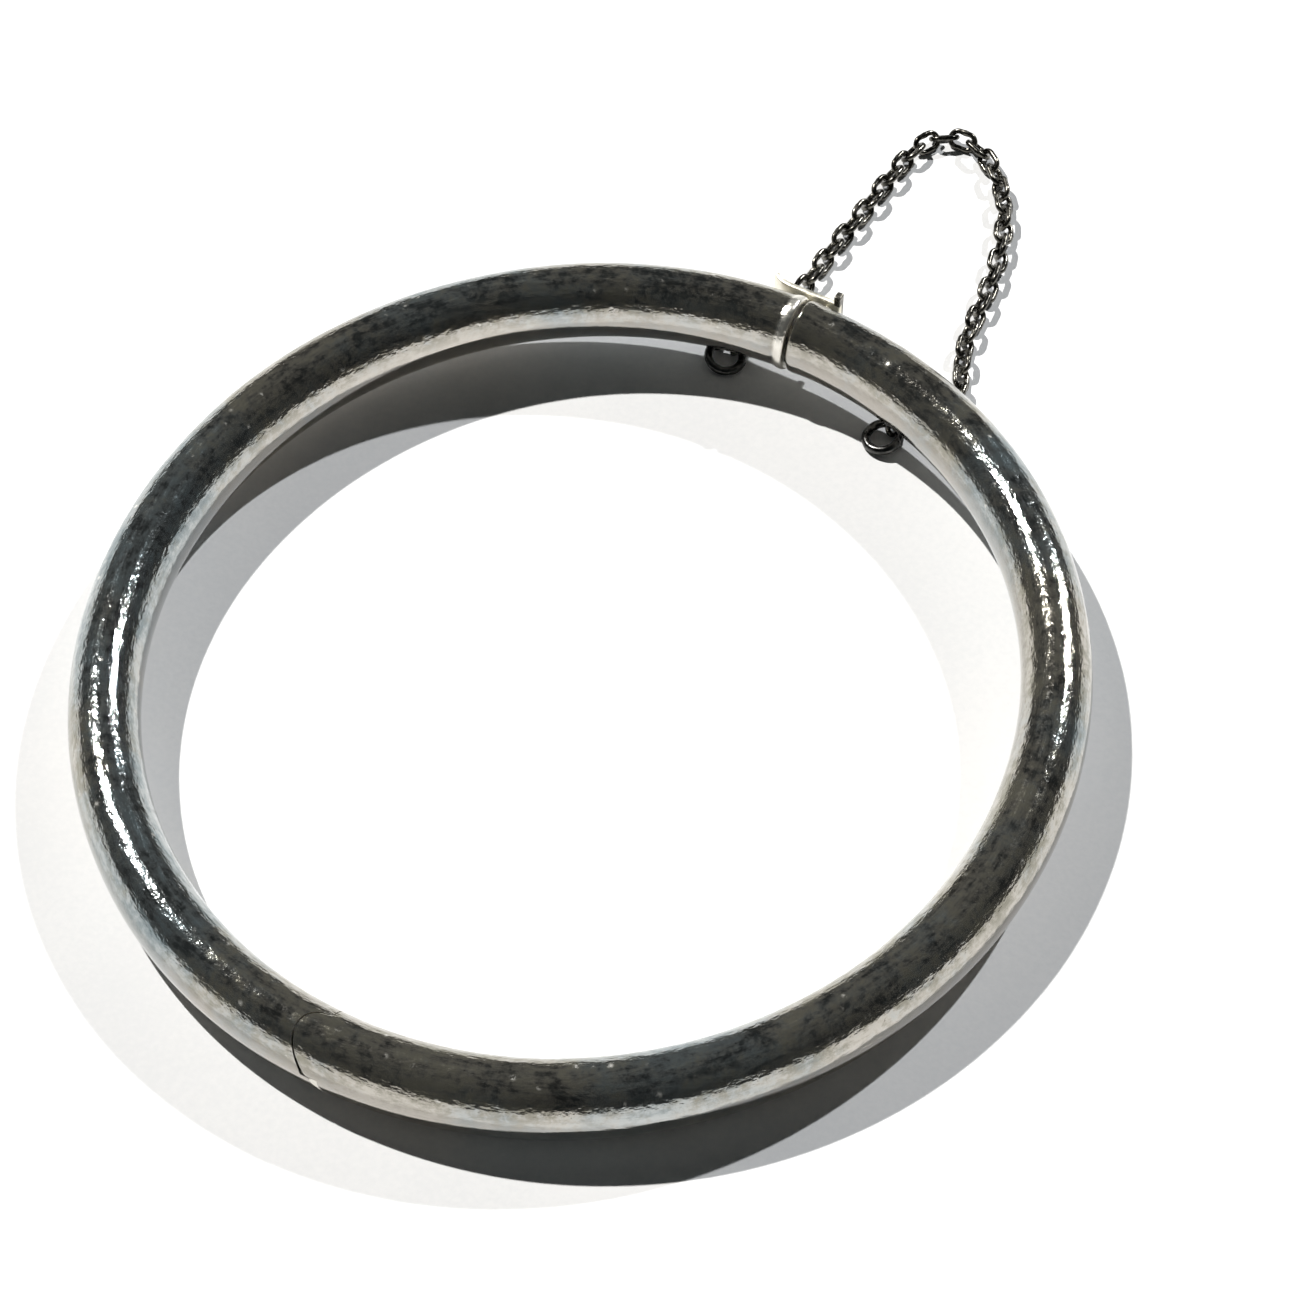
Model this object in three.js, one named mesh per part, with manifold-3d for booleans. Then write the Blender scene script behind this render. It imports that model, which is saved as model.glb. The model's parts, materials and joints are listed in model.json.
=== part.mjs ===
// Hinged oval bangle: two hollow half tubes, a three-knuckle hinge, a spring tongue clasp and a safety chain.
// Millimetres, +Z up. The wrist opening faces up and down, and +Y runs from the hinge to the clasp.
import * as THREE from 'three';
import { mergeVertices } from 'three/addons/utils/BufferGeometryUtils.js';
import Module from 'manifold-3d';

const wasm = await Module();
wasm.setup();

// ---------- driving dimensions ----------
const halfLength = 32;        // centre line of the tube, from the middle towards hinge and clasp
const halfWidth = 30.4;       // centre line of the tube, from the middle to either side
const tubeWidth = 4.7;        // tube section, across
const tubeHeight = 5.66;      // tube section, up and down
const tubeWall = 0.4;
const solderGap = 0.04;       // between pieces that are soldered to each other
const slideGap = 0.1;         // between hinge pieces that turn past each other

const hingeBlockLength = 2.2; // solid end of each half, from the hinge line
const pinOffset = 0.75;       // the pin stands this far outside the centre line
const pinRadius = 0.45;
const pinHoleRadius = 0.5;
const knuckleRadius = 1.6;
const knuckleSplitUpper = 0.15;
const knuckleSplitLower = -1.5;

const claspX = -0.6;          // the clasp seam stands a little to the back half's side
const claspGap = 0.3;
const endPlate = 0.5;         // thickness of the plates that close the tube at the clasp
const tongueHeight = 2.8;     // up and down
const tongueThickness = 0.35;
const tongueReach = 5.1;      // the fold lies this far along +X

const ringRadius = 1.2;       // jump rings, centre line of the wire
const ringWire = 0.31;
const eyeletRadius = 0.62;
const eyeletWire = 0.2;

const linkCount = 41;
const linkPitch = 1.42;
const linkWire = 0.19;
const linkPlay = 0.1;         // slack in each joint of the chain
const linkHalfWidth = 0.58;   // centre line of the wire
const linkHalfLength = (linkPitch + linkPlay) / 2 + linkWire;
const hookPlay = 0.06;        // how far the links in the jump rings sit inside the ring's wire
const hookedRoll = 116;       // degrees: how steeply the links in the jump rings stand

const layingSlope = 0.022;    // the table falls away from the hinge towards the chain, against the bangle's plane

// ---------- materials ----------
function metal(color, roughness) {
  return new THREE.MeshStandardMaterial({ color, roughness, metalness: 1 });
}

const tarnishedSilver = () => metal(0x8e8c86, 0.24);
const brightSilver = () => metal(0xd6d0bf, 0.22);
const solderedSilver = () => metal(0x9b968b, 0.34);
const springSilver = () => metal(0xb3ab97, 0.3);
const darkWire = () => metal(0x5d5c57, 0.3);
const gunmetalWire = () => metal(0x4f4e4a, 0.36);
const pinSteel = () => metal(0x77736b, 0.35);

// ---------- solids ----------
function toSolid(geometry) {
  const bare = geometry.clone();
  bare.deleteAttribute('normal');
  bare.deleteAttribute('uv');
  const merged = mergeVertices(bare, 1e-5);
  return new wasm.Manifold(new wasm.Mesh({
    numProp: 3,
    vertProperties: new Float32Array(merged.attributes.position.array),
    triVerts: new Uint32Array(merged.index.array),
  }));
}

function toGeometry(solid) {
  const mesh = solid.getMesh();
  const geometry = new THREE.BufferGeometry();
  geometry.setAttribute('position', new THREE.BufferAttribute(new Float32Array(mesh.vertProperties), 3));
  geometry.setIndex(new THREE.BufferAttribute(new Uint32Array(mesh.triVerts), 1));
  geometry.computeVertexNormals();
  return geometry;
}

// A box between two corners.
function boxBetween(x0, x1, y0, y1, z0, z1) {
  const box = new THREE.BoxGeometry(x1 - x0, y1 - y0, z1 - z0);
  return toSolid(box.translate((x0 + x1) / 2, (y0 + y1) / 2, (z0 + z1) / 2));
}

// An upright cylinder around the line of the hinge pin.
function aroundPin(radius, z0, z1, sides = 36) {
  const cylinder = new THREE.CylinderGeometry(radius, radius, z1 - z0, sides);
  return toSolid(cylinder.rotateX(Math.PI / 2).translate(0, -halfLength - pinOffset, (z0 + z1) / 2));
}

// An outline in plan, extruded up and down by half its height each way.
function flatPiece(outline, height) {
  const shape = new THREE.Shape(outline.map(([x, y]) => new THREE.Vector2(x, y)));
  const geometry = new THREE.ExtrudeGeometry(shape, { depth: height, bevelEnabled: false });
  return toSolid(geometry.translate(0, 0, -height / 2));
}

function named(name, geometry, material) {
  const mesh = new THREE.Mesh(geometry, material);
  mesh.name = name;
  return mesh;
}

const bangle = new THREE.Group();

function add(name, solid, material) {
  bangle.add(named(name, toGeometry(solid), material));
}

// ---------- the tube ----------
// The centre line: an oval in plan. The angle runs from the clasp, and is positive on the front half.
class OvalArc extends THREE.Curve {
  constructor(start, end) {
    super();
    this.start = start;
    this.end = end;
  }

  getPoint(t, target = new THREE.Vector3()) {
    const angle = this.start + (this.end - this.start) * t;
    return target.set(halfWidth * Math.sin(angle), halfLength * Math.cos(angle), 0);
  }
}

// Corners of the oval section, with a short flat at its top, bottom and sides.
function sectionPoints(width, height, sides) {
  const points = [];
  for (let k = 0; k < sides; k += 1) {
    const angle = (2 * Math.PI * (k + 0.5)) / sides;
    points.push(new THREE.Vector2((height / 2) * Math.cos(angle), (width / 2) * Math.sin(angle)));
  }
  return points;
}

const sectionSides = 24;

function sweep(start, end, steps, hollow) {
  const shape = new THREE.Shape(sectionPoints(tubeWidth, tubeHeight, sectionSides));
  if (hollow) {
    const inside = sectionPoints(tubeWidth - 2 * tubeWall, tubeHeight - 2 * tubeWall, sectionSides / 2);
    shape.holes.push(new THREE.Path(inside));
  }
  const extrudePath = new OvalArc(start, end);
  return toSolid(new THREE.ExtrudeGeometry(shape, { steps, extrudePath, bevelEnabled: false }));
}

const claspTrim = 0.06;       // the sweeps start past the seam and are cut back to it
const hingeTrim = 0.02;
const notchHalfHeight = 1;    // notch in the front half's rim for the thumb-piece's neck
const notchEnd = 0.75;

// The back half lies at -X, the front half at +X.
function halfTube(side) {
  const tube = sweep(side * -claspTrim, side * (Math.PI - hingeTrim), 44, true);
  const claspCut = claspX + side * claspGap / 2;
  const past = side > 0
    ? boxBetween(-9, claspCut, 20, 40, -6, 6)
    : boxBetween(claspCut, 9, 20, 40, -6, 6);
  const hingeEnd = hingeBlockLength + solderGap;
  const hingeCut = side > 0
    ? boxBetween(-9, hingeEnd, -40, -20, -6, 6)
    : boxBetween(-hingeEnd, 9, -40, -20, -6, 6);
  return tube.subtract(past).subtract(hingeCut);
}

const rimNotch = boxBetween(claspX, notchEnd, halfLength + 1, halfLength + 4, -notchHalfHeight, notchHalfHeight);
add('back_half_tube', halfTube(-1), tarnishedSilver());
add('front_half_tube', halfTube(1).subtract(rimNotch), tarnishedSilver());

// ---------- the hinge ----------
// Three knuckles share one pin. The upper and lower ones belong to the front half, the middle one to the back.
const hingeStretch = sweep(Math.PI - 0.12, Math.PI + 0.12, 6, false);
const allHeight = 4;
const upperRange = [knuckleSplitUpper, allHeight];
const middleRange = [knuckleSplitLower, knuckleSplitUpper];
const lowerRange = [-allHeight, knuckleSplitLower];
const pinHole = aroundPin(pinHoleRadius, -allHeight, allHeight, 24);

function hingeCap(side, ownRanges, otherRanges) {
  const block = side > 0
    ? boxBetween(solderGap, hingeBlockLength, -40, -20, -6, 6)
    : boxBetween(-hingeBlockLength, -solderGap, -40, -20, -6, 6);
  let cap = hingeStretch.intersect(block);
  for (const [z0, z1] of ownRanges) {
    cap = cap.subtract(aroundPin(knuckleRadius + solderGap, z0 - solderGap, z1 + solderGap));
  }
  for (const [z0, z1] of otherRanges) {
    cap = cap.subtract(aroundPin(knuckleRadius + slideGap, z0 - solderGap, z1 + solderGap));
  }
  return cap;
}

function knuckle([z0, z1]) {
  const barrel = aroundPin(knuckleRadius, z0 + solderGap, z1 - solderGap);
  return hingeStretch.intersect(barrel).subtract(pinHole);
}

add('back_hinge_cap', hingeCap(-1, [middleRange], [upperRange, lowerRange]), solderedSilver());
add('front_hinge_cap', hingeCap(1, [upperRange, lowerRange], [middleRange]), solderedSilver());
add('upper_hinge_knuckle', knuckle(upperRange), solderedSilver());
add('middle_hinge_knuckle', knuckle(middleRange), solderedSilver());
add('lower_hinge_knuckle', knuckle(lowerRange), solderedSilver());
add('hinge_pin', hingeStretch.intersect(aroundPin(pinRadius, -allHeight, allHeight, 24)), pinSteel());

// ---------- the clasp ----------
// Each half ends in a plate. The tongue is fixed in the back plate and slides through the front plate's mouth.
const cavityWidth = tubeWidth - 2 * tubeWall - 0.2;
const cavityHeight = tubeHeight - 2 * tubeWall - 0.2;
const tongueY = halfLength - 0.9;
const mouthHalfHeight = 1.5;
const mouthLow = halfLength - 1.1;
const mouthHigh = halfLength + 1.35;

function plateAt(x0) {
  const shape = new THREE.Shape(sectionPoints(cavityWidth, cavityHeight, sectionSides));
  const geometry = new THREE.ExtrudeGeometry(shape, { depth: endPlate, bevelEnabled: false });
  return toSolid(geometry.rotateY(Math.PI / 2).translate(x0, halfLength, 0));
}

const backPlateX = claspX - claspGap / 2 - endPlate;
const frontPlateX = claspX + claspGap / 2;
const tongueSlot = boxBetween(
  -3, 3, tongueY - solderGap, tongueY + tongueThickness + solderGap,
  -tongueHeight / 2 - solderGap, tongueHeight / 2 + solderGap,
);
const mouth = boxBetween(-3, 3, mouthLow, mouthHigh, -mouthHalfHeight, mouthHalfHeight);
add('back_clasp_plate', plateAt(backPlateX).subtract(tongueSlot), solderedSilver());
add('front_clasp_plate', plateAt(frontPlateX).subtract(mouth).subtract(rimNotch), solderedSilver());

// The tongue is one strip folded back on itself: a fixed leaf, and a spring leaf that carries the thumb-piece.
const foldY = tongueY + tongueThickness + 0.25;
const tongueRoot = -2.2;
const fixedLeaf = [
  [tongueRoot, tongueY],
  [tongueReach, tongueY],
  [tongueReach + 0.3, tongueY + 0.15],
  [tongueReach + 0.4, tongueY + 0.45],
  [tongueReach + 0.3, foldY],
  [tongueReach + 0.1, foldY],
  [tongueReach + 0.1, tongueY + tongueThickness],
  [tongueRoot, tongueY + tongueThickness],
];
const leafEndX = 0.12;
const leafEndY = halfLength + 0.85;
const springLeaf = [
  [tongueReach, foldY],
  [tongueReach, foldY + tongueThickness],
  [leafEndX, leafEndY + tongueThickness],
  [leafEndX, leafEndY],
];
add('tongue_fixed_leaf', flatPiece(fixedLeaf, tongueHeight), springSilver());
add('tongue_spring_leaf', flatPiece(springLeaf, tongueHeight), springSilver());

// The thumb-piece: a strip along the outside of the seam, a flared tip, an upright lug and a neck to the leaf.
const thumbIn = halfLength + 2.65;
const thumbOut = thumbIn + 0.45;
const thumbLeft = -3.2;
const thumbTip = -3.95;
const thumbRight = 1.2;
const thumbHeight = 2.5;
const lugLeft = 0.7;
const lugTop = 1.95;
const neckHalfHeight = 0.8;
const neckFoot = leafEndY + tongueThickness + solderGap;
const strip = flatPiece([
  [thumbRight, thumbIn],
  [thumbRight, thumbOut],
  [thumbLeft, thumbOut],
  [thumbTip, thumbOut + 0.4],
  [thumbTip - 0.15, thumbOut + 0.1],
  [thumbLeft, thumbIn],
], thumbHeight);
const lug = boxBetween(lugLeft, thumbRight, thumbIn, thumbOut + 0.3, -thumbHeight / 2, lugTop);
const neck = boxBetween(leafEndX, leafEndX + 0.4, neckFoot, thumbIn + 0.1, -neckHalfHeight, neckHalfHeight);
add('thumb_piece', strip.add(lug).add(neck), brightSilver());

// ---------- the safety chain ----------
// Height of the table below the tube's middle plane, where the bangle lies on its hinge and its chain.
function tableZ(y) {
  return -tubeHeight / 2 - layingSlope * (y + halfLength);
}

const lift = 0.03;            // play that keeps wire off the table and off the tube
const tubeBottom = -tubeHeight / 2;

function roundRing(radius, wire, around = 20, across = 8) {
  return new THREE.TorusGeometry(radius, wire, across, around);
}

// An eyelet: an upright wire loop under the tube, cut off where it meets the tube.
function eyelet(name, { x, y, towards }) {
  const centreZ = tableZ(y) + eyeletRadius + eyeletWire + lift;
  const loop = roundRing(eyeletRadius, eyeletWire, 20, 8);
  loop.rotateX(Math.PI / 2).rotateZ(towards).translate(x, y, centreZ);
  const side = Math.sign(x);
  const angle = Math.asin(x / halfWidth);
  const tubeHere = sweep(angle - side * 0.06, angle + side * 0.06, 4, false);
  add(name, toSolid(loop).subtract(tubeHere.translate([0, 0, -solderGap])), darkWire());
}

// A jump ring passes through its eyelet and leans down from there until its far side lies on the table.
function ringPlacement({ x, y, towards }) {
  const high = tubeBottom - ringWire - 0.2;
  const centreX = x + ringRadius * Math.cos(towards);
  const centreY = y + ringRadius * Math.sin(towards);
  const low = tableZ(centreY) + ringWire + lift;
  const lean = Math.asin((high - low) / (2 * ringRadius));
  return {
    position: new THREE.Vector3(centreX, centreY, (high + low) / 2),
    rotation: new THREE.Euler(0, lean, towards, 'ZYX'),
  };
}

function jumpRing(name, eye) {
  const { position, rotation } = ringPlacement(eye);
  const ring = named(name, roundRing(ringRadius, ringWire, 24, 8), darkWire());
  ring.position.copy(position);
  ring.rotation.copy(rotation);
  bangle.add(ring);
}

const degree = Math.PI / 180;
const backEye = { x: -6.41, y: 31.44, towards: -40 * degree };
const frontEye = { x: 8.49, y: 29.86, towards: -155 * degree };
eyelet('back_chain_eyelet', backEye);
eyelet('front_chain_eyelet', frontEye);
jumpRing('back_jump_ring', backEye);
jumpRing('front_jump_ring', frontEye);

// Where a link hooked through a jump ring bears on the inside of the ring's wire, in the direction `around`.
function bearingOn(eye, around) {
  const { position, rotation } = ringPlacement(eye);
  const reach = ringRadius - ringWire - hookPlay;
  const turn = around - eye.towards;
  const inRing = new THREE.Vector3(reach * Math.cos(turn), reach * Math.sin(turn), 0);
  return inRing.applyEuler(rotation).add(position);
}

const chainStart = bearingOn(backEye, 60 * degree);
const lastBearing = bearingOn(frontEye, 75 * degree);
const lastHeading = 72 * degree;

// The chain's route in plan, from the back jump ring out from under the tube, round an arch, and back under.
const routePoints = [
  [-4.34, 32.67], [-3.9, 34.02], [-3.7, 35.43], [-3.6, 38.5], [-3.45, 43.0], [-3.2, 46.9], [-2.93, 51.2],
  [-2.63, 54.4], [-2.15, 56.1], [-1.1, 57.2], [0.3, 57.5], [2.1, 56.8], [3.8, 55.3], [5.1, 53.6], [6.2, 51.5],
  [7.2, 48.6], [8.0, 44.9], [8.5, 41.0], [9.05, 38.6], [9.85, 36.7], [10.3, 35.2], [10.1, 33.9], [9.55, 33.0],
  [8.75, 32.45], [7.6, 32.1],
];
const routeVectors = routePoints.map(([x, y]) => new THREE.Vector3(x, y, 0));
const route = new THREE.CatmullRomCurve3([chainStart.clone().setZ(0), ...routeVectors], false, 'centripetal');

// Joints of the chain, in plan: points on the route that lie one pitch apart.
function chainJoints(count) {
  const points = [];
  for (const sample of route.getSpacedPoints(6000)) {
    const last = points[points.length - 1];
    if (!last || (points.length <= count && sample.distanceTo(last) >= linkPitch)) {
      points.push(sample);
    }
  }
  return points;
}

// A link: a ring of wire whose two end bends are drawn apart until it has its length.
function linkGeometry() {
  const geometry = roundRing(linkHalfWidth, linkWire, 12, 6);
  const stretch = linkHalfLength - linkHalfWidth;
  const position = geometry.attributes.position;
  for (let k = 0; k < position.count; k += 1) {
    const x = position.getX(k);
    const share = Math.min(1, Math.abs(x) / (0.3 * linkHalfWidth));
    position.setX(k, x + Math.sign(x) * share * stretch);
  }
  geometry.computeVertexNormals();
  return geometry;
}

// Links lie at 45 degrees, every other one the other way, and the right leg is rolled a little more. The first
// and the last one stand steeper, so that the wire of a jump ring passes through them.
function linkRoll(index) {
  if (index === 0 || index === linkCount - 1) {
    return hookedRoll * degree;
  }
  const along = (index + 0.5) / linkCount;
  const extra = 22 * Math.exp(-(((along - 0.68) / 0.1) ** 2));
  const alternate = index % 2 === 0 ? 90 : 0;
  return (45 + alternate + extra) * degree;
}

// Height of a link's middle above the table: it rests on the edge that its roll turns down.
function linkHeight(index) {
  const roll = linkRoll(index);
  const edge = Math.max(Math.abs(Math.sin(roll)), Math.abs(Math.cos(roll)));
  return linkHalfWidth * edge + linkWire + lift;
}

function chainLink(index, start, end) {
  const name = `chain_link_${String(index + 1).padStart(2, '0')}`;
  const along = end.clone().sub(start);
  const link = named(name, linkGeometry(), gunmetalWire());
  link.position.copy(start).add(end).multiplyScalar(0.5);
  link.rotation.order = 'ZYX';
  link.rotation.set(linkRoll(index), -Math.asin(along.z / along.length()), Math.atan2(along.y, along.x));
  bangle.add(link);
}

// All links but the last follow the route. The last one hangs on the front jump ring and meets them end to end.
const joints = chainJoints(linkCount - 1);
joints.forEach((joint, index) => joint.setZ(tableZ(joint.y) + linkHeight(Math.max(1, index))));
joints[0].setZ(chainStart.z);
for (let index = 0; index < linkCount - 1; index += 1) {
  chainLink(index, joints[index], joints[index + 1]);
}
const lastEnd = new THREE.Vector3(Math.cos(lastHeading), Math.sin(lastHeading), 0);
lastEnd.multiplyScalar(linkPitch).add(lastBearing);
lastEnd.setZ(tableZ(lastEnd.y) + linkHeight(linkCount - 1));
chainLink(linkCount - 1, lastEnd, lastBearing);

// ---------- the row frame ----------
// The origin is the middle of the underside of the whole object's box.
const bracelet = new THREE.Group();
bracelet.add(bangle);
const box = new THREE.Box3().setFromObject(bracelet, true);
const middle = box.getCenter(new THREE.Vector3());
bangle.position.set(-middle.x, -middle.y, -box.min.z);

export default bracelet;
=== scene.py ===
# %% [markdown]
# # A hinged silver bangle with a safety chain
# The bangle is two hollow half ovals of thin silver tube. They meet at a three-knuckle hinge and are held shut by a
# folded spring tongue. A fine cable chain hangs from two jump rings under the tube.
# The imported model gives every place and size. This script gives the pieces their smooth surfaces and their finish:
# old polished silver, dark and mottled where it has tarnished and bright where it is rubbed.

# %% Load the frame
import json
import math
import bmesh
import bpy
import numpy as np
from mathutils import Matrix, Vector


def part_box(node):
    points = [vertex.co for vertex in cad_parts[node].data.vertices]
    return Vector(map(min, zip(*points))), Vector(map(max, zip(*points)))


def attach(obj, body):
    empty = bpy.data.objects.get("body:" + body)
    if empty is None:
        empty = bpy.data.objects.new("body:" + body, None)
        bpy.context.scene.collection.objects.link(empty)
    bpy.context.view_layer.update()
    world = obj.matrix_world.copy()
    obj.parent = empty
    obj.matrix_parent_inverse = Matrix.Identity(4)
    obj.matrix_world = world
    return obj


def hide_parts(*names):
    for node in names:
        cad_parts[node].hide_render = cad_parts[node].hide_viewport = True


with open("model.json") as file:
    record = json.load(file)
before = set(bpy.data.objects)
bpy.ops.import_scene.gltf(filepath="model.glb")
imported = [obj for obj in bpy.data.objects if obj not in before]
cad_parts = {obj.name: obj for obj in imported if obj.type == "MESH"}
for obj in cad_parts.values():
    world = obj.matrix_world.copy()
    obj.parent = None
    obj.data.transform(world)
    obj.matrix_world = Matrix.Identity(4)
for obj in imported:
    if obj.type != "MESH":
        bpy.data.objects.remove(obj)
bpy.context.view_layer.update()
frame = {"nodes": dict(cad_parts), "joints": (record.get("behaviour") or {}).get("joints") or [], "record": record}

MM = 0.001
hinge = next(j for j in frame["joints"] if j["name"] == "main_hinge")
pin = np.array(hinge["pos_m"]) / MM
PIN_OFFSET = 32.75
CENTRE = np.array([pin[0], pin[1] + PIN_OFFSET, pin[2]])
BODY_OF = {n: body for body, nodes in frame["record"]["behaviour"]["bodies"].items() for n in nodes}
print("ring centre in mm:", CENTRE.round(3))

# %% [markdown]
# ## Camera, light and table
# The camera looks down at 54 degrees from the hinge side with a long lens, so the oval keeps its shape.
# Two soft-edged suns come from behind the clasp. Each throws its own shadow towards the camera, and where both
# shadows lie over each other the table is dark. Sun lamps were chosen because they light a wide table evenly.
# The room above is nearly black: polished silver shows its surroundings, so a dark room gives the dark upper side
# of the tube, and the bright table gives the sharp pale band on its lower side.
# The bangle lies on its hinge and on its chain, so the table falls away a little towards the clasp.

# %% Camera
SENSOR_WIDTH, LENS = 36.0, 111.627907
TUBE_HALF_HEIGHT = 2.83
LAYING_SLOPE = 0.022
view_forward = Vector((-0.27732154, 0.51504199, -0.81106382))
view_up = Vector((-0.38451579, 0.71412332, 0.58495767))
view_right = view_forward.cross(view_up)
camera_place = Vector((0.07483438, -0.14225029, 0.21604905))
camera_data = bpy.data.cameras.new("camera")
camera_data.sensor_width = SENSOR_WIDTH
camera_data.lens = LENS
camera_data.clip_start = 0.01
camera = bpy.data.objects.new("camera", camera_data)
camera_axes = Matrix((view_right, view_up, -view_forward)).transposed().to_4x4()
camera.matrix_world = Matrix.Translation(camera_place) @ camera_axes
bpy.context.collection.objects.link(camera)
bpy.context.scene.camera = camera
print("lens in mm:", round(camera_data.lens, 1))


# %% Suns and room
def sun(name, azimuth, elevation, strength, spread, color):
    """A sun lamp that shines from the given azimuth and elevation, in degrees."""
    data = bpy.data.lights.new(name, "SUN")
    data.energy = strength
    data.angle = math.radians(spread)
    data.color = color
    lamp = bpy.data.objects.new(name, data)
    a, e = math.radians(azimuth), math.radians(elevation)
    towards = Vector((math.cos(a) * math.cos(e), math.sin(a) * math.cos(e), math.sin(e)))
    lamp.rotation_euler = towards.to_track_quat("Z", "Y").to_euler()
    bpy.context.collection.objects.link(lamp)
    return lamp


sun("main_sun", 164.8, 51.3, 4.2, 1.2, (1.0, 0.985, 0.96))
sun("second_sun", 76.5, 39.0, 2.25, 1.4, (0.97, 0.985, 1.0))
bpy.context.scene.view_settings.view_transform = "Standard"


# %% [markdown]
# ## Writing materials as expressions
# A finish is a stack of patterns: clouds of tarnish, fine scratches, rubbed spots. Added one node at a time by hand
# they are hard to read back, so a small class wraps a socket and turns +, -, * and / into Math nodes, and one
# method adds any other node.

# %% Socket maths
class Value:
    """A number that varies over the surface: a socket with operators."""

    def __init__(self, finish, socket):
        self.finish = finish
        self.socket = socket

    def math(self, operation, *others, clamp=False):
        sockets = {k: o for k, o in enumerate((self, *others))}
        return self.finish.node("ShaderNodeMath", {"operation": operation, "use_clamp": clamp}, sockets)

    def __add__(self, other):
        return self.math("ADD", other)

    def __sub__(self, other):
        return self.math("SUBTRACT", other)

    def __mul__(self, other):
        return self.math("MULTIPLY", other)

    def __truediv__(self, other):
        return self.math("DIVIDE", other)

    __radd__ = __add__
    __rmul__ = __mul__

    def __rsub__(self, other):
        return (self * -1.0).math("ADD", other)

    def between(self, low, high):
        """0 below low, 1 above high, and a smooth step between them."""
        settings = {"interpolation_type": "SMOOTHSTEP"}
        return self.finish.node("ShaderNodeMapRange", settings, {0: self, 1: low, 2: high})


class Nodes:
    """Writes nodes into one node tree."""

    def __init__(self, tree):
        self.tree = tree

    def node(self, kind, settings=None, inputs=None, output=0):
        """Adds any node: its type, its settings, and the values or links of its sockets."""
        made = self.tree.nodes.new(kind)
        for key, value in (settings or {}).items():
            setattr(made, key, value)
        for key, value in (inputs or {}).items():
            self.feed(made.inputs[key], value)
        return Value(self, made.outputs[output])

    def feed(self, socket, value):
        if isinstance(value, Value):
            self.tree.links.new(value.socket, socket)
        else:
            socket.default_value = value

    def place(self, source="Object"):
        return self.node("ShaderNodeTexCoord", output=source)

    def noise(self, where, scale, detail=4.0, rough=0.55, warp=0.0):
        inputs = {"Vector": where, "Scale": scale, "Detail": detail, "Roughness": rough, "Distortion": warp}
        return self.node("ShaderNodeTexNoise", {}, inputs)

    def stretched(self, where, scale):
        return self.node("ShaderNodeMapping", {}, {"Vector": where, "Scale": scale})

    def spots(self, where, scale):
        """Distance to the nearest of many scattered points."""
        return self.node("ShaderNodeTexVoronoi", {}, {"Vector": where, "Scale": scale})

    def mix(self, factor, a, b):
        """A colour between a and b."""
        return self.node("ShaderNodeMix", {"data_type": "RGBA"}, {0: factor, 6: a, 7: b}, output=2)

    def bump(self, height, distance, strength=1.0, normal=None):
        inputs = {"Height": height, "Distance": distance, "Strength": strength}
        if normal:
            inputs["Normal"] = normal
        return self.node("ShaderNodeBump", {}, inputs)


class Finish(Nodes):
    """One material: nodes that end in a shader."""

    def __init__(self, name, metallic=1.0):
        self.material = bpy.data.materials.new(name)
        self.material.use_nodes = True
        super().__init__(self.material.node_tree)
        self.shader = self.tree.nodes["Principled BSDF"]
        self.shader.inputs["Metallic"].default_value = metallic

    def finish_with(self, color, roughness, normal):
        self.feed(self.shader.inputs["Base Color"], color)
        self.feed(self.shader.inputs["Roughness"], roughness)
        self.feed(self.shader.inputs["Normal"], normal)
        print("finish", self.material.name, "has", len(self.tree.nodes), "nodes")
        return self.material


def rgb(red, green, blue):
    return (red, green, blue, 1.0)


# %% [markdown]
# ## Table
# White paper: nearly white, with a faint tooth that only shows inside the shadows.

# %% Paper
paper = Finish("white_paper", metallic=0.0)
here = paper.place()
tooth = paper.noise(here, 2600, detail=5)
clouding = paper.noise(here, 60, detail=3)
tone = paper.mix((tooth * 0.5 + clouding * 0.5).between(0.35, 0.65), rgb(0.80, 0.805, 0.81), rgb(0.845, 0.845, 0.845))
paper.finish_with(tone, 0.9, paper.bump(tooth, 0.00002, 0.5))

# %% Table top
TABLE_REACH = 900.0
HINGE_SIDE = 32.0
corner = np.array([-1.0, 1.0])
table_x, table_y = [a.ravel() * TABLE_REACH for a in np.meshgrid(corner, corner, indexing="ij")]
table_z = -TUBE_HALF_HEIGHT - LAYING_SLOPE * (table_y + HINGE_SIDE)
table_points = (np.stack([table_x, table_y, table_z], axis=1) + CENTRE) * MM
table_mesh = bpy.data.meshes.new("table")
table_mesh.from_pydata(table_points.tolist(), [], [(0, 2, 3, 1)])
table = bpy.data.objects.new("table", table_mesh)
table.data.materials.append(paper.material)
bpy.context.collection.objects.link(table)

# %% [markdown]
# The room is a dark gradient with a paler strip low down and a few large, soft, uneven patches, as walls and
# windows look in a curved mirror.

# %% Room
room = bpy.data.worlds.new("room")
bpy.context.scene.world = room
room.use_nodes = True
room_nodes = Nodes(room.node_tree)
direction = room_nodes.place("Generated")
height = room_nodes.node("ShaderNodeSeparateXYZ", {}, {0: direction}, output="Z")
patches = room_nodes.noise(direction, 2.6, detail=3)
low_strip = 1.0 - height.between(0.0, 0.32)
ceiling = room_nodes.mix(patches.between(0.35, 0.7), rgb(0.006, 0.009, 0.011), rgb(0.075, 0.085, 0.085))
room_color = room_nodes.mix(low_strip * 0.8, ceiling, rgb(0.16, 0.15, 0.135))
background = room.node_tree.nodes["Background"]
room_nodes.feed(background.inputs["Color"], room_color)
background.inputs["Strength"].default_value = 0.62

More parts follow.
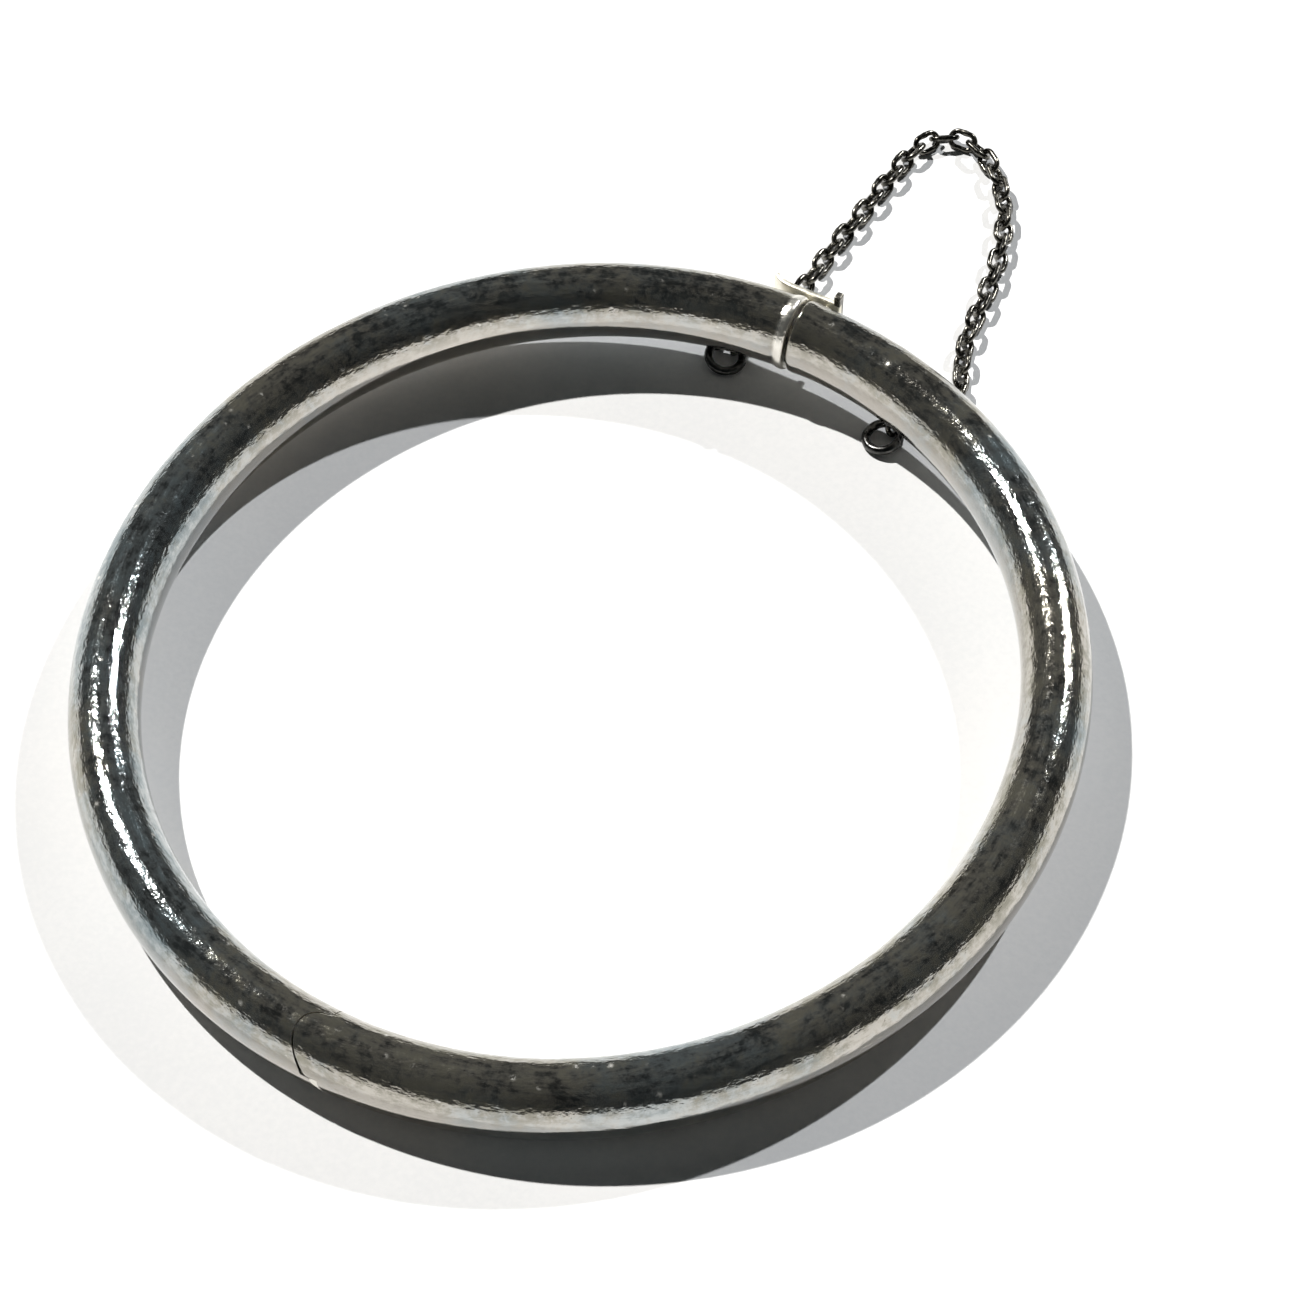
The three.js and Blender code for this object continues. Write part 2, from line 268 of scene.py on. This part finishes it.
# %% [markdown]
# ## Finishes
# The tube was polished once. Wear has left hairlines along it, and tarnish has clouded it blue-grey, greenish and
# brown. In a metal the base colour is the colour of its reflections, so tarnish darkens the base colour. On top the
# colour is painted darker still: a painted shade on the upper side of the tube. The tarnish is also a thin film that
# is no metal itself, so the same patches are a little less metallic and scatter some light, which keeps them grey
# and not black. Thousands of fine dents on top break the sun's reflection into glints. Hairlines, smears and dents
# follow the tube, so they read a UV map that is measured along and around it, in metres.
# Everything else reads plain Object coordinates.

# %% Tarnished silver
def tarnished_silver(name, lip=False):
    """Polished silver under a film of tarnish, with a painted shade that darkens the top. A lip is the rolled rim at
    the clasp, rubbed and rougher, and painted pale as a painted highlight.
    """
    silver = Finish(name)
    at = silver.place()
    along = silver.place("UV")
    middle = float(CENTRE[2]) * MM
    height = silver.node("ShaderNodeSeparateXYZ", {}, {0: at}, output=2)
    top = height.between(middle - 0.0002, middle + 0.0018)
    clouds = silver.noise(at, 260, detail=8, rough=0.65, warp=0.8)
    drift = silver.noise(at, 85, detail=3)
    grime = silver.noise(at, 1500, detail=6, rough=0.7)
    smear = silver.noise(silver.stretched(along, (420.0, 1800.0, 1.0)), 1.0, detail=6, rough=0.7)
    hair = silver.noise(silver.stretched(along, (300.0, 9000.0, 1.0)), 1.0, detail=3, rough=0.6)
    film = (clouds * 0.34 + smear * 0.33 + grime * 0.33).between(0.43, 0.57)
    warm_or_cold = (drift * 0.7 + grime * 0.3).between(0.42, 0.58)
    tint = silver.mix(warm_or_cold, rgb(0.16, 0.205, 0.22), rgb(0.235, 0.225, 0.175))
    clean = silver.mix(warm_or_cold, rgb(0.50, 0.51, 0.50), rgb(0.57, 0.535, 0.49))
    # Tint from the random tarnish film, plus painted shade: the top mask darkens the upper side of the tube.
    color = silver.mix(0.06 + film * 0.08 + top * (0.25 + film * 0.5), clean, tint)
    spot = 1.0 - silver.spots(at, 700).between(0.05, 0.22)
    worn = spot * grime.between(0.52, 0.6) * top
    color = silver.mix(worn, color, rgb(0.92, 0.90, 0.84))
    metal = 0.985 - film * (0.02 + top * 0.14) - worn * 0.1
    rough = 0.075 + clouds.between(0.45, 0.7) * 0.06 + smear.between(0.5, 0.7) * top * 0.08
    rough = rough + hair.between(0.52, 0.72) * 0.05 + worn * 0.12
    if lip:
        run = silver.node("ShaderNodeSeparateXYZ", {}, {0: along}, output=0)
        rim = 1.0 - run.between(0.00135, 0.00175)
        # Painted highlight: the rolled rim is painted pale to stand for a bright line of light along it; it is also
        # rubbed and rougher.
        color = silver.mix(rim * 0.9, color, rgb(0.95, 0.92, 0.84))
        rough = rough + rim * 0.2
    dents = silver.noise(silver.stretched(along, (1300.0, 2600.0, 1.0)), 1.0, detail=3, rough=0.5)
    pits = silver.noise(at, 4200, detail=2, rough=0.5)
    slow = silver.bump(clouds * 0.35 + smear * 0.08 + hair * 0.01, 0.00004, 0.8)
    dented = silver.bump(dents * (0.08 + top * 0.92), 0.00006, 0.95, normal=slow)
    pitted = silver.bump(pits * top, 0.000012, 0.9, normal=dented)
    silver.feed(silver.shader.inputs["Metallic"], metal)
    return silver.finish_with(color, rough, pitted)


front_finish = tarnished_silver("silver_front_tarnish_and_painted_shade")
back_finish = tarnished_silver("silver_back_tarnish_painted_shade_and_lip_highlight", lip=True)


# %% [markdown]
# The clasp's small pieces are hard rolled silver: satin, with the lines of the rolling mill. The thumb strip is the
# palest: it is rubbed by a thumb, and its pale colour is also a painted highlight that stands for the sun on it. The
# upright lug on the thumb-piece is given a near-black tone, darker than the strip of the same piece. The chain and
# its rings are darkened wire, nearly black, with paler patches where it is rubbed. One recipe serves them all: two
# tones mixed by cloudy grain, and a range of roughness.

# %% Small metal finishes
def worked_metal(name, deep, bright, rough_low, rough_high, grain=2400.0):
    """Drawn or rolled metal: colour between two tones, with fine grain and scratches."""
    metal = Finish(name)
    at = metal.place()
    cloud = metal.noise(at, 620, detail=6, rough=0.65)
    fine = metal.noise(at, grain, detail=4, rough=0.7)
    line = metal.noise(metal.stretched(at, (700.0, 700.0, 9000.0)), 1.0, detail=3)
    tone = (cloud * 0.6 + fine * 0.4).between(0.38, 0.62)
    color = metal.mix(tone, deep, bright)
    span = rough_high - rough_low
    rough = rough_low + span * (fine * 0.5 + line * 0.5).between(0.3, 0.7)
    relief = fine * 0.5 + line * 0.25 + cloud * 0.6
    return metal.finish_with(color, rough, metal.bump(relief, 0.00003, 0.5))


# The thumb strip's pale tones are rubbed silver and also a painted highlight for the sun on it.
bright_silver = worked_metal("rubbed_silver_painted_highlight", rgb(0.74, 0.70, 0.58), rgb(0.96, 0.93, 0.82), 0.30, 0.52)
spring_silver = worked_metal("rolled_spring_silver", rgb(0.42, 0.39, 0.33), rgb(0.80, 0.76, 0.66), 0.2, 0.42)
filed_silver = worked_metal("filed_silver", rgb(0.22, 0.21, 0.19), rgb(0.62, 0.59, 0.52), 0.24, 0.5)
# The lug is given a near-black tone, darker than the strip of the same thumb-piece.
dark_lug = worked_metal("near_black_lug", rgb(0.06, 0.058, 0.052), rgb(0.30, 0.28, 0.24), 0.2, 0.45)
dark_wire = worked_metal("blackened_wire", rgb(0.02, 0.02, 0.02), rgb(0.12, 0.12, 0.115), 0.14, 0.3)
chain_wire = worked_metal("gunmetal_chain_wire", rgb(0.025, 0.024, 0.021), rgb(0.20, 0.19, 0.165), 0.16, 0.34)


# %% [markdown]
# ## From grids to pieces
# Every surface below is a grid of points. One helper joins neighbouring points into quads, and one turns points
# and faces into a piece that rides on its body, stands for its CAD nodes and takes its finish.

# %% Grid helpers
def grid_faces(rows, columns, wrap_rows=False, wrap_columns=False, first=0):
    """Quads between neighbouring points of a rows by columns grid, numbered from first."""
    i = np.arange(rows if wrap_rows else rows - 1)
    j = np.arange(columns if wrap_columns else columns - 1)
    i, j = np.meshgrid(i, j, indexing="ij")
    up, across = (i + 1) % rows, (j + 1) % columns
    quads = np.stack([i * columns + j, up * columns + j, up * columns + across, i * columns + across], axis=-1)
    return quads.reshape(-1, 4) + first


def make_piece(name, points, faces, body, nodes, finish, slot, uv=None, crease=40.0):
    """Makes a closed piece from points in millimetres about the ring's centre, hangs it on its body, hides its CAD
    nodes and gives it its finish.
    """
    mesh = bpy.data.meshes.new(name)
    mesh.from_pydata(((points + CENTRE) * MM).tolist(), [], faces.tolist())
    if uv is not None:
        layer = mesh.uv_layers.new(name="UVMap")
        corners = np.empty(len(mesh.loops), dtype=np.int32)
        mesh.loops.foreach_get("vertex_index", corners)
        layer.data.foreach_set("uv", (uv[corners] * MM).astype(np.float32).ravel())
    work = bmesh.new()
    work.from_mesh(mesh)
    bmesh.ops.remove_doubles(work, verts=work.verts, dist=2e-7)
    bmesh.ops.dissolve_degenerate(work, edges=work.edges, dist=1e-8)
    bmesh.ops.recalc_face_normals(work, faces=work.faces)
    open_edges = sum(1 for e in work.edges if len(e.link_faces) != 2)
    work.to_mesh(mesh)
    work.free()
    mesh.polygons.foreach_set("use_smooth", np.ones(len(mesh.polygons), dtype=bool))
    mesh.set_sharp_from_angle(angle=math.radians(crease))
    piece = bpy.data.objects.new(name, mesh)
    bpy.context.collection.objects.link(piece)
    mesh.materials.append(finish)
    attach(piece, body)
    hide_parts(*nodes)
    print(name, "faces:", len(mesh.polygons), "open edges:", open_edges)
    return piece


# %% [markdown]
# ## The tube
# The real halves are thin sheet drawn into an oval tube and bent round an oval former. The centre line is an
# ellipse in plan, and the tube's section is an upright ellipse carried along it. A sweep with a curve object would
# give the same form, but the ends matter here: at the hinge each half ends in knuckles that reach round the pin,
# so the rows of the grid stop where they meet the hinge's face, which is found by halving an interval.

# %% Oval and section
HALF_WIDTH, HALF_LENGTH = 30.4, 32.0
SECTION_ACROSS, SECTION_UP = 2.35, 2.83
WALL = 0.4
rng = np.random.default_rng(7)


def tube_point(angle, across, up):
    """The oval's point at this angle from the clasp, moved outwards by across and upwards by up."""
    x, y = HALF_WIDTH * np.sin(angle), HALF_LENGTH * np.cos(angle)
    nx, ny = np.sin(angle) / HALF_WIDTH, np.cos(angle) / HALF_LENGTH
    length = np.hypot(nx, ny)
    return np.stack(np.broadcast_arrays(x + across * nx / length, y + across * ny / length, up), axis=-1)


# %% [markdown]
# A bangle that has been worn for years isn't a perfect sweep. Its skin goes in by a few hundredths of a millimetre
# in long, soft hollows and has some small dents. In polished metal that is what makes the reflections wander.

# %% Wear of the skin
HOLLOWS, DENTS = 46, 60


def scattered(count, turns, lengths, heights, depths):
    """Random marks: place along the oval, turn round the section, length, height and depth, as five rows."""
    spans = [(-math.pi, math.pi), turns, lengths, heights, depths]
    return np.stack([rng.uniform(low, high, count) for low, high in spans])


hollows = scattered(HOLLOWS, (-math.pi, math.pi), (0.05, 0.16), (0.25, 0.7), (0.004, 0.014))
dents = scattered(DENTS, (0.1, 1.6), (0.006, 0.016), (0.06, 0.2), (0.006, 0.022))


def wear(angle, around):
    """Depth of the wear in mm: sums of round hollows placed along and around the tube, plus slow waves."""
    depth = 0.008 * (1 + np.sin(7 * angle + 1.3 * np.sin(around))) + 0.004 * (1 + np.sin(17 * angle + 2 * around))
    for along, turn, wide, tall, deep in np.concatenate([hollows, dents], axis=1).T:
        gap = (around - turn + math.pi) % (2 * math.pi) - math.pi
        round_gap = (angle - along + math.pi) % (2 * math.pi) - math.pi
        depth = depth + deep * np.exp(-((round_gap / wide) ** 2) - (gap / tall) ** 2)
    return depth


# %% Hinge faces
KNUCKLE, KNUCKLE_CLEAR = 1.6, 1.7
SEAM = 0.04
SEARCH_ANGLE, HALVINGS = 0.12, 40
SPLITS = {1: (-1.54, 0.19), -1: (-1.46, 0.11)}


def hinge_face(side, y, z):
    """X of a half's end face: its own knuckles reach round the pin, and it leaves room for the other half's."""
    low, high = SPLITS[side]
    middle = (z > low) & (z < high)
    own = ~middle if side > 0 else middle
    from_pin = y + PIN_OFFSET
    out = np.sqrt(np.clip(KNUCKLE**2 - from_pin**2, 0, None))
    room = np.sqrt(np.clip(KNUCKLE_CLEAR**2 - from_pin**2, 0, None))
    return side * np.where(own, np.where(out > 0, -out, SEAM), np.maximum(room, SEAM))


def hinge_angle(side, across, up):
    """The angle at which a line along the tube's skin meets the hinge face, found by halving."""
    near = np.full(np.shape(across), math.pi - SEARCH_ANGLE)
    far = np.full(np.shape(across), math.pi + SEARCH_ANGLE)
    for _ in range(HALVINGS):
        middle = (near + far) / 2
        point = tube_point(side * middle, across, up)
        beyond = side * (point[..., 0] - hinge_face(side, point[..., 1], point[..., 2])) < 0
        near, far = np.where(beyond, near, middle), np.where(beyond, middle, far)
    return (near + far) / 2


# %% [markdown]
# A half is one closed surface: down the outside from the clasp to the hinge, across the hinge's end face, and up
# the inside of the tube to the clasp again. Heights where a knuckle begins get two rows that almost touch, so that
# the step between knuckles is crisp. The clasp end of the back half is rolled into a narrow raised lip.

# %% Half tubes
LEVELS = 44
STEP_GAP = 0.003
ROWS_OUTSIDE, ROWS_INSIDE, ROWS_ACROSS_END = 400, 90, 60
RIM_ROUND, RIM_REACH = 0.09, 0.12
LIP_MIDDLE, LIP_REACH = 0.45, 0.34
INSIDE_END = math.pi - 0.09
MEAN_OVAL_RADIUS, MEAN_SECTION_RADIUS = 31.0, 2.6


def half_tube(side, seam_x, lip):
    """Points, faces and UVs of one half. Columns go round the section, rows go along the tube."""
    rise = np.sin(np.linspace(-math.pi / 2, math.pi / 2, LEVELS))
    steps = [split + gap for split in SPLITS[side] for gap in (-STEP_GAP, STEP_GAP)]
    level = np.unique(np.concatenate([rise, np.array(steps) / SECTION_UP]))
    turn = np.arcsin(np.clip(level, -1, 1))
    around = np.concatenate([turn, (math.pi - turn[1:-1])[::-1]])
    cos_around, sin_around = np.cos(around), np.sin(around)
    end = hinge_angle(side, SECTION_ACROSS * cos_around, SECTION_UP * sin_around)
    start = side * seam_x / (HALF_WIDTH + SECTION_ACROSS * cos_around)
    share = np.concatenate([np.array([0, 0.0002, 0.0006, 0.0012, 0.002]), np.linspace(0.003, 1, ROWS_OUTSIDE)])
    angle = start + (end - start) * share[:, None]
    distance = (angle - start) * HALF_LENGTH
    edge = RIM_ROUND * np.clip(1 - distance / RIM_REACH, 0, 1) ** 2
    rolled = lip * np.exp(-(((distance - LIP_MIDDLE) / LIP_REACH) ** 4))
    inward = wear(side * angle, around) * np.clip(distance / 1.5, 0, 1) + edge - rolled
    inward = inward * np.clip((math.pi - 0.03 - angle) / 0.03, 0, 1)
    outer = tube_point(side * angle, (SECTION_ACROSS - inward) * cos_around, (SECTION_UP - inward) * sin_around)
    inner_angle = start + (INSIDE_END - start) * np.linspace(0, 1, ROWS_INSIDE)[:, None]
    inner = tube_point(side * inner_angle, (SECTION_ACROSS - WALL) * cos_around, (SECTION_UP - WALL) * sin_around)
    cover = tube_point(side * np.full((1, len(around)), INSIDE_END), 0 * cos_around, 0 * sin_around)
    rows = np.concatenate([cover, inner[::-1], outer])
    count, columns = rows.shape[:2]
    faces = grid_faces(count, columns, wrap_columns=True)
    inside = np.concatenate([[0], len(around) - np.arange(1, len(level) - 1), [len(level) - 1]])
    rim_out, rim_in = outer[-1][:len(level)], outer[-1][inside]
    blend = np.linspace(0, 1, ROWS_ACROSS_END)[None, :, None]
    patch = rim_out[:, None] * (1 - blend) + rim_in[:, None] * blend
    patch[:, 1:-1, 0] = hinge_face(side, patch[:, 1:-1, 1], patch[:, 1:-1, 2])
    patch_faces = grid_faces(len(level), ROWS_ACROSS_END, first=count * columns)
    long_way = np.concatenate([inner_angle[:1], inner_angle[::-1], angle]) * MEAN_OVAL_RADIUS
    short_way = np.broadcast_to(around * MEAN_SECTION_RADIUS, long_way.shape)
    uv = np.stack([long_way, short_way], axis=-1).reshape(-1, 2)
    patch_uv = patch[..., 1:].reshape(-1, 2)
    points = np.concatenate([rows.reshape(-1, 3), patch.reshape(-1, 3)])
    return points, np.concatenate([faces, patch_faces]), np.concatenate([uv, patch_uv])


back_points, back_faces, back_uv = half_tube(-1, -0.75, lip=0.10)
make_piece("back_half_skin", back_points, back_faces, "back_half",
           ["back_half_tube", "back_hinge_cap", "middle_hinge_knuckle"], back_finish, "tarnished_silver", back_uv)
front_points, front_faces, front_uv = half_tube(1, -0.45, lip=0.03)
make_piece("front_half_skin", front_points, front_faces, "front_half",
           ["front_half_tube", "front_hinge_cap", "upper_hinge_knuckle", "lower_hinge_knuckle"],
           front_finish, "tarnished_silver", front_uv)


# %% [markdown]
# ## Hinge pin
# The pin was hammered and filed flush, so its two ends follow the tube's rounded surface and stand a hair proud.

# %% Pin
PIN_SIDES = 48
PROUD = 0.002


def pin_rows():
    """Rings of points up the pin, closed at both ends by rings that shrink onto the axis."""
    turn = np.linspace(0, 2 * math.pi, PIN_SIDES, endpoint=False)
    radius = np.concatenate([[0, 0.25, 0.38, 0.43, 0.45], [0.45, 0.43, 0.38, 0.25, 0]])[:, None]
    end = np.array([-1] * 5 + [1] * 5)[:, None]
    x, y = radius * np.cos(turn), -PIN_OFFSET + radius * np.sin(turn)
    dome = 0.006 * np.sqrt(np.clip(1 - (radius / 0.46) ** 2, 0, 1))
    skin = SECTION_UP * np.sqrt(np.clip(1 - ((y + HALF_LENGTH) / SECTION_ACROSS) ** 2, 0, 1))
    return np.stack(np.broadcast_arrays(x, y, end * (skin + PROUD + dome)), axis=-1)


rings_of_pin = pin_rows()
pin_faces = grid_faces(len(rings_of_pin), PIN_SIDES, wrap_columns=True)
make_piece("hinge_pin_fine", rings_of_pin.reshape(-1, 3), pin_faces, "back_half", ["hinge_pin"],
           front_finish, "pin_steel", uv=rings_of_pin[..., :2].reshape(-1, 2))


# %% [markdown]
# ## Bars: the thumb-piece
# The thumb-piece was sawn from sheet, bent and rubbed round by years of thumbs. Each of its parts is a rounded
# rectangle carried along a path, with ends that shrink like a worn corner.

# %% A rounded bar
BAR_SIDES = 40
SQUARENESS = 0.3
LOOK_AHEAD = 0.15


def bar(path, wide, tall, up=(0.0, 0.0, 1.0), corner=0.1, steps=26):
    """A rounded rectangle carried along a path. Its end rows draw in over a corner's length and then to a point."""
    path, up = np.array(path, dtype=float), np.array(up)
    run = np.concatenate([[0], np.cumsum(np.linalg.norm(np.diff(path, axis=0), axis=1))])
    length = run[-1]
    round_off = corner * (1 - np.cos(np.linspace(0, math.pi / 2, 5)))
    even = np.concatenate([[0], round_off, np.linspace(corner, length - corner, steps)[1:-1],
                           (length - round_off)[::-1], [length]])
    line = np.stack([np.interp(even, run, path[:, k]) for k in range(3)], axis=1)
    ahead = np.stack([np.interp(np.minimum(even + LOOK_AHEAD, length), run, path[:, k]) for k in range(3)], axis=1)
    behind = np.stack([np.interp(np.maximum(even - LOOK_AHEAD, 0), run, path[:, k]) for k in range(3)], axis=1)
    side = np.cross(up, ahead - behind)
    side /= np.linalg.norm(side, axis=1)[:, None]
    turn = np.linspace(0, 2 * math.pi, BAR_SIDES, endpoint=False)
    a = np.sign(np.cos(turn)) * np.abs(np.cos(turn)) ** SQUARENESS * wide / 2
    b = np.sign(np.sin(turn)) * np.abs(np.sin(turn)) ** SQUARENESS * tall / 2
    into_corner = np.clip(corner - np.minimum(even, length - even), 0, None)
    drawn_in = corner - np.sqrt(np.clip(corner**2 - into_corner**2, 0, None))
    keep_a = np.clip(1 - 2 * drawn_in / wide, 0, 1)[:, None]
    keep_b = np.clip(1 - 2 * drawn_in / tall, 0, 1)[:, None]
    keep_a[[0, -1]] = keep_b[[0, -1]] = 0
    return line[:, None] + side[:, None] * (keep_a * a)[..., None] + up * (keep_b * b)[..., None]


def joined(*parts):
    """Points and faces of several grids whose columns wrap, as one list each."""
    points, faces, first = [], [], 0
    for rows in parts:
        faces.append(grid_faces(rows.shape[0], rows.shape[1], wrap_columns=True, first=first))
        points.append(rows.reshape(-1, 3))
        first += rows.shape[0] * rows.shape[1]
    return np.concatenate(points), np.concatenate(faces)


# %% Thumb-piece
strip = bar([(1.2, 34.87, 0), (-2.6, 34.87, 0), (-3.2, 34.93, 0), (-3.62, 35.1, 0), (-4.02, 35.38, 0)], 0.45, 2.5)
neck = bar([(0.32, 33.25, 0), (0.32, 34.9, 0)], 0.4, 1.6)
make_piece("thumb_strip", *joined(strip, neck), "thumb_lever", ["thumb_piece"], bright_silver, "bright_silver")
lug = bar([(0.95, 34.98, -1.2), (0.95, 35.0, 1.93)], 0.5, 0.66, up=(0.0, 1.0, 0.0))
make_piece("thumb_lug", *joined(lug), "thumb_lever", ["thumb_piece"], dark_lug, "bright_silver")


# %% [markdown]
# ## Wire: rings, eyelets and chain
# Rings and links are bent from round wire. A link's middle line is a flat oval: two half circles joined by
# straight runs. The frame already holds where every link lies, so each one's middle and axes are read from its
# CAD mesh: its longest spread is its length and its thinnest is its thickness.

# %% A bent wire
WIRE_SIDES = 14


def wire_points(middle, tangent, normal, radius):
    """Circles of wire round a closed middle line, given its direction and the normal of its plane."""
    turn = np.linspace(0, 2 * math.pi, WIRE_SIDES, endpoint=False)
    across = np.cross(normal, tangent)
    circle = across[:, None] * np.cos(turn)[:, None] + normal * np.sin(turn)[:, None]
    return middle[:, None] + circle * radius[:, None, None]


def flat_oval(half_length, half_width, count):
    """A closed line of two half circles and two straight runs, in its own plane, evenly spaced."""
    turn = np.linspace(0, 2 * math.pi, 2000, endpoint=False)
    straight = half_length - half_width
    x = half_width * np.cos(turn) + straight * np.sign(np.cos(turn))
    y = half_width * np.sin(turn)
    line = np.stack([x, y, 0 * x], axis=1)
    closed = np.vstack([line, line[:1]])
    run = np.concatenate([[0], np.cumsum(np.linalg.norm(np.diff(closed, axis=0), axis=1))])
    even = np.linspace(0, run[-1], count, endpoint=False)
    return np.stack([np.interp(even, run, closed[:, k]) for k in range(3)], axis=1)


def spread_of(node):
    """Mean point, axes and middle of a CAD node, in mm about the ring's centre.

    The axes are its longest, second and thinnest direction, and the middle is that of its box.
    """
    mesh = frame["nodes"][node].data
    points = np.empty(len(mesh.vertices) * 3)
    mesh.vertices.foreach_get("co", points)
    points = np.unique((points.reshape(-1, 3) / MM - CENTRE).round(4), axis=0)
    middle = (points.max(axis=0) + points.min(axis=0)) / 2
    _, axes = np.linalg.eigh(np.cov((points - points.mean(axis=0)).T))
    axes = axes[:, ::-1].T
    axes[2] = np.cross(axes[0], axes[1])
    return points.mean(axis=0), axes, middle


def place_wire(line, radius, middle, axes):
    """Wire round a flat closed line, turned to the given axes and moved to the middle."""
    tangent = np.roll(line, -1, axis=0) - np.roll(line, 1, axis=0)
    tangent /= np.linalg.norm(tangent, axis=1)[:, None]
    rows = wire_points(line, tangent, np.array([0.0, 0.0, 1.0]), radius)
    return rows @ axes + middle


# %% Chain links
LINK_HALF_LENGTH, LINK_HALF_WIDTH, LINK_WIRE = 0.95, 0.58, 0.21
LINK_ROWS = 56
SOLDER_BULGE, SOLDER_REACH = 0.035, 0.2
DRAWN_THIN = 0.012
oval = flat_oval(LINK_HALF_LENGTH, LINK_HALF_WIDTH, LINK_ROWS)
link_faces = grid_faces(LINK_ROWS, WIRE_SIDES, wrap_rows=True, wrap_columns=True)
for node in sorted(n for n in frame["nodes"] if n.startswith("chain_link_")):
    middle, axes, _ = spread_of(node)
    joint_at = 0.1 * rng.uniform(-1, 1)
    solder = SOLDER_BULGE * np.exp(-(((oval[:, 0] - joint_at) / SOLDER_REACH) ** 2)) * (oval[:, 1] > 0)
    wire = LINK_WIRE * (1 - 0.02 * rng.random()) + solder - DRAWN_THIN
    rows = place_wire(oval, wire, middle, axes)
    make_piece("fine_link_" + node[-2:], rows.reshape(-1, 3), link_faces, BODY_OF[node], [node],
               chain_wire, "gunmetal_wire")


# %% Jump rings and eyelets
RING_ROWS = 96
RING_RADIUS, RING_WIRE = 1.2, 0.31
EYELET_RADIUS, EYELET_WIRE = 0.62, 0.2
SLIT_AT, SLIT_REACH = 2.0, 0.035


def round_wire(name, node, radius, wire, upright=False):
    """A ring of wire. A jump ring keeps the fine slit where its ends meet, and an upright ring stands on its rim."""
    _, axes, middle = spread_of(node)
    turn = np.linspace(0, 2 * math.pi, RING_ROWS, endpoint=False)
    line = radius * np.stack([np.cos(turn), np.sin(turn), 0 * turn], axis=1)
    if upright:
        low, high = (np.array(v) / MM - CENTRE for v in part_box(node))
        middle = np.array([(low[0] + high[0]) / 2, (low[1] + high[1]) / 2, low[2] + radius + wire])
        lean = axes[np.argmin(np.abs(axes @ np.array([0, 0, 1.0])))]
        flat = np.array([lean[0], lean[1], 0]) / np.hypot(lean[0], lean[1])
        axes = np.array([flat, [0, 0, 1.0], np.cross(flat, [0, 0, 1.0])])
    slit = 0.0 if upright else 0.10
    thick = wire * (1 - slit * np.exp(-(((turn - SLIT_AT) / SLIT_REACH) ** 2)))
    rows = place_wire(line, thick, middle, axes)
    faces = grid_faces(RING_ROWS, WIRE_SIDES, wrap_rows=True, wrap_columns=True)
    return make_piece(name, rows.reshape(-1, 3), faces, BODY_OF[node], [node], dark_wire, "dark_wire")


round_wire("fine_back_ring", "back_jump_ring", RING_RADIUS, RING_WIRE)
round_wire("fine_front_ring", "front_jump_ring", RING_RADIUS, RING_WIRE)
round_wire("fine_back_eyelet", "back_chain_eyelet", EYELET_RADIUS, EYELET_WIRE, upright=True)
round_wire("fine_front_eyelet", "front_chain_eyelet", EYELET_RADIUS, EYELET_WIRE, upright=True)

# %% [markdown]
# ## Pieces that keep their CAD shape
# The end plates and the two leaves of the tongue are flat sheet with plain edges, so their CAD shapes are right
# and only take a finish.

# %% Finishes for the sheet pieces
for node, finish in {"back_clasp_plate": filed_silver, "front_clasp_plate": filed_silver,
                     "tongue_fixed_leaf": spring_silver, "tongue_spring_leaf": spring_silver}.items():
    sheet = frame["nodes"][node].data
    sheet.materials.clear()
    sheet.materials.append(finish)
    print(node, "takes", finish.name)
